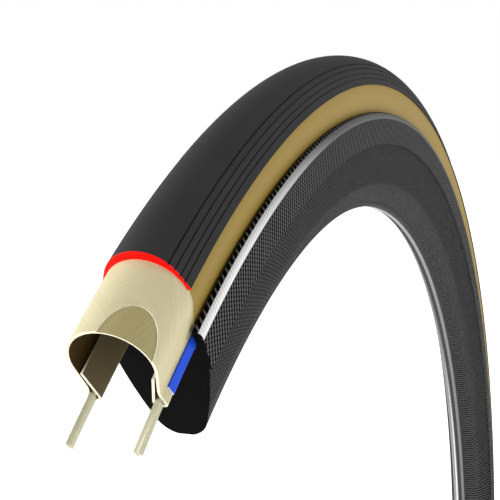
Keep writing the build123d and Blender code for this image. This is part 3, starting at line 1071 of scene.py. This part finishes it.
@dataclass
class Sides:
    """The tan coats on the sidewalls and the blue strips on the beads."""

    casing: Casing
    coat: float = 0.3 * MM
    coat_gap: float = 0.05 * MM
    chafer: float = 0.32 * MM
    chafer_bottom: float = 312.3 * MM
    chafer_top: float = 314.8 * MM
    tread_edge: float = 326.4 * MM
    step: float = 0.12 * MM

    def strip(self, height: float, low: float, high: float) -> list[Spot]:
        """A left-hand strip on the outer ply between two radii."""
        base = self.casing.ply + self.casing.bond
        line = Line(self.casing.half)
        heel = min(range(len(line.spots)), key=lambda i: line.spots[i].r)
        outer, inner = (
            [spot for spot in divided(line.raised(up)[:heel], self.step) if low <= spot.r <= high and spot.y > 0]
            for up in (base + height, base)
        )
        return outer + inner[::-1]

    def build(self, builder: Builder) -> None:
        """Makes both pairs."""
        coat = self.strip(self.coat, self.chafer_top + self.coat_gap, self.tread_edge - self.coat_gap)
        builder.pair("sidewall", coat, builder.cuts.tread, Finishes.TAN)
        tape = self.strip(self.chafer, self.chafer_bottom, self.chafer_top)
        builder.pair("chafer", tape, builder.cuts.chafer, Finishes.CHAFER)


@dataclass
class Rim:
    """A deep rim: a woven carbon shell round a black filling, with braking bands and a tape."""

    edge: float = 316.5 * MM
    half_width: float = 12.46 * MM
    flange: float = 2.1 * MM
    hook: float = 0.35 * MM
    hook_depth: float = 2.2 * MM
    flange_round: float = 2.1 * MM
    hook_round: float = 0.3 * MM
    nose_centre: float = 288.0 * MM
    nose_radius: float = 7.0 * MM
    nose_end: float = 110.0
    flank_step: float = 0.75 * MM
    spoke_bed: float = 281.3 * MM
    track_bottom: float = 304.9 * MM
    track_top: float = 314.2 * MM
    track: float = 0.6 * MM
    wall: float = 1.7 * MM
    bridge: float = 2.4 * MM
    seat: float = 311.0 * MM
    well_half_width: float = 4.8 * MM
    well_depth: float = 2.6 * MM
    well_slope: float = 1.4 * MM
    tape: float = 0.4 * MM
    tape_margin: float = 0.5 * MM
    bond: float = 0.02 * MM

    def lower_side(self, wall: float) -> list[Spot]:
        """The left side from the spoke bed to the braking band, moved in by a wall's thickness."""
        radius = self.nose_radius - wall
        bed = self.spoke_bed + wall
        top = Spot(self.track_bottom, self.half_width - self.flank_step - wall)
        first = degrees(acos((bed - self.nose_centre) / radius))
        nose = arc(Spot(self.nose_centre, 0), radius, first, self.nose_end)
        return nose + leaving_arc(nose[-1], self.nose_end, top, FLANK_STEPS)[1:]

    def shell_outline(self) -> list[Spot]:
        """The shell's outside, with shallow pockets for the braking bands."""
        inside = self.half_width - self.flange
        hook = inside - self.hook
        pocket = self.half_width - self.track - self.bond
        floor = self.seat - self.well_depth
        corners = (
            (self.track_top + self.bond, pocket),
            (self.track_top + self.bond, self.half_width),
            (self.edge, self.half_width),
            (self.edge, hook),
            (self.edge - self.hook_depth + self.hook, hook),
            (self.edge - self.hook_depth, inside),
            (self.seat, inside),
            (self.seat, self.well_half_width + self.well_slope),
            (floor, self.well_half_width),
            (floor, 0),
        )
        radii = [0, self.flange_round, self.hook_round, self.hook_round, 0, 0, 0, 0]
        lower = self.lower_side(0)
        lower[-1] = Spot(self.track_bottom - self.bond, lower[-1].y)
        lower.append(Spot(self.track_bottom - self.bond, pocket))
        half = lower + rounded([Spot(*corner) for corner in corners], radii)
        return half + mirrored(half[:-1])

    def build(self, builder: Builder) -> None:
        """Makes the shell, its filling, the braking bands and the tape."""
        cut = builder.cuts.rim
        builder.ring("rim_shell", self.shell_outline(), cut, Finishes.CARBON)
        ceiling = self.seat - self.well_depth - self.bridge
        fill = self.lower_side(self.wall)
        fill.append(Spot(ceiling, fill[-1].y))
        builder.ring("rim_core", fill + mirrored(fill), cut, Finishes.FILL)
        inner, outer = self.half_width - self.track, self.half_width
        low, high = self.track_bottom, self.track_top
        track = [Spot(low, inner), Spot(low, outer), Spot(high, outer), Spot(high, inner)]
        builder.pair("brake_track", track, cut, Finishes.TRACK)
        low, floor = self.seat + self.bond, self.seat - self.well_depth + self.bond
        edge = self.half_width - self.flange - self.tape_margin
        slope = self.well_half_width + self.well_slope
        under = [Spot(floor, self.well_half_width), Spot(low, slope), Spot(low, edge)]
        left = under + [spot + Spot(self.tape, 0) for spot in reversed(under)]
        builder.ring("rim_tape", left + mirrored(left), cut, Finishes.TAPE)


# ---- studio


@dataclass(frozen=True)
class SoftBox:
    """A soft rectangular light."""

    name: str
    place: tuple[float, float, float]
    aim: tuple[float, float, float]
    size: tuple[float, float]
    power: float


@dataclass(frozen=True)
class Studio:
    """The pale floor, the soft lights and the camera."""

    eye: tuple[float, float, float] = (-0.404701, -0.109493, 0.307377)
    right: tuple[float, float, float] = (0.348607, -0.937269, 0.0)
    up: tuple[float, float, float] = (0.093928, 0.034936, 0.994966)
    lens: float = 80.59
    sensor: float = 36.0
    clips: tuple[float, float] = (0.01, 100.0)
    ahead: tuple[float, float, float] = (0.93, 0.35, -0.1)
    half_floor: float = 30.0
    dim: float = 0.42
    turn_low: float = 0.2
    turn_high: float = 0.8
    boxes: tuple[SoftBox, ...] = (
        SoftBox("key_softbox", (0.3, -0.95, 0.6), (-0.12, 0.0, 0.3), (0.6, 0.5), 5.5),
        SoftBox("front_softbox", (-1.0, 0.3, 0.8), (-0.15, 0.0, 0.25), (0.6, 0.5), 9.0),
        SoftBox("low_softbox", (0.015, -0.4, -0.2), (0.2, 0.0, 0.08), (0.3, 0.16), 1.0),
        SoftBox("far_low_softbox", (0.36, 0.52, -0.2), (0.28, 0.0, 0.05), (0.4, 0.2), 2.5),
        SoftBox("left_softbox", (-0.2, 0.9, 0.6), (-0.15, 0.0, 0.28), (0.6, 0.5), 8.0),
    )

    def build(self, floor_height: float) -> None:
        """Sets up the stage, with its floor at a height."""
        self.add_floor(floor_height)
        self.add_world()
        self.add_lights()
        self.add_camera()

    def add_floor(self, height: float) -> None:
        """A wide pale floor."""
        mesh = bpy.data.meshes.new("floor")
        half = self.half_floor
        corners = [(x, y, height) for x, y in ((-half, -half), (half, -half), (half, half), (-half, half))]
        mesh.from_pydata(corners, [], [(0, 1, 2, 3)])
        mesh.materials.append(Finishes.FLOOR.value.material())
        placed("floor", mesh)

    def add_world(self) -> None:
        """A surround that is white beyond the object and dimmer overhead and behind the camera."""
        world = bpy.data.worlds.new("surround")
        world.use_nodes = True
        tree = Tree(world.node_tree)
        where = tree.node("ShaderNodeTexCoord", {}, {}, "Generated")
        facing = tree.node("ShaderNodeVectorMath", {"operation": "DOT_PRODUCT"}, {0: where, 1: self.ahead}, "Value")
        turn = {"Value": facing, "From Min": self.turn_low, "From Max": self.turn_high, "To Min": self.dim}
        background = world.node_tree.nodes["Background"]
        background.inputs["Color"].default_value = (1.0, 1.0, 1.0, 1.0)
        level = tree.node("ShaderNodeMapRange", {"interpolation_type": "SMOOTHSTEP"}, turn, "Result")
        tree.feed(background.inputs["Strength"], level)
        bpy.context.scene.world = world
        bpy.context.scene.view_settings.view_transform = "Standard"

    def add_lights(self) -> None:
        """Soft boxes."""
        for box in self.boxes:
            light = bpy.data.lights.new(box.name, "AREA")
            light.shape = "RECTANGLE"
            light.size, light.size_y = box.size
            light.energy = box.power
            lamp = placed(box.name, light)
            lamp.location = box.place
            lamp.rotation_euler = (Vector(box.aim) - Vector(box.place)).to_track_quat("-Z", "Y").to_euler()
            lamp.visible_camera = False

    def add_camera(self) -> None:
        """The camera, in front of the display cut."""
        lens = bpy.data.cameras.new("camera")
        lens.lens = self.lens
        lens.sensor_width = self.sensor
        lens.clip_start, lens.clip_end = self.clips
        camera = placed("camera", lens)
        right, up = Vector(self.right), Vector(self.up)
        back = right.cross(up)
        camera.matrix_world = Matrix.Translation(Vector(self.eye)) @ Matrix((right, up, back)).transposed().to_4x4()
        bpy.context.scene.camera = camera


# ---- the whole object


def main() -> None:
    """Builds the sub-assemblies in order, then the studio."""
    logging.basicConfig(level=logging.INFO, format="%(name)s %(message)s")
    builder = Builder(RingSweep(), Cuts())
    casing = Casing()
    casing.build(builder)
    Tread(casing).build(builder)
    Sides(casing).build(builder)
    Rim().build(builder)
    Studio().build(CAD_BOX[0][2])


if __name__ == "__main__":
    main()
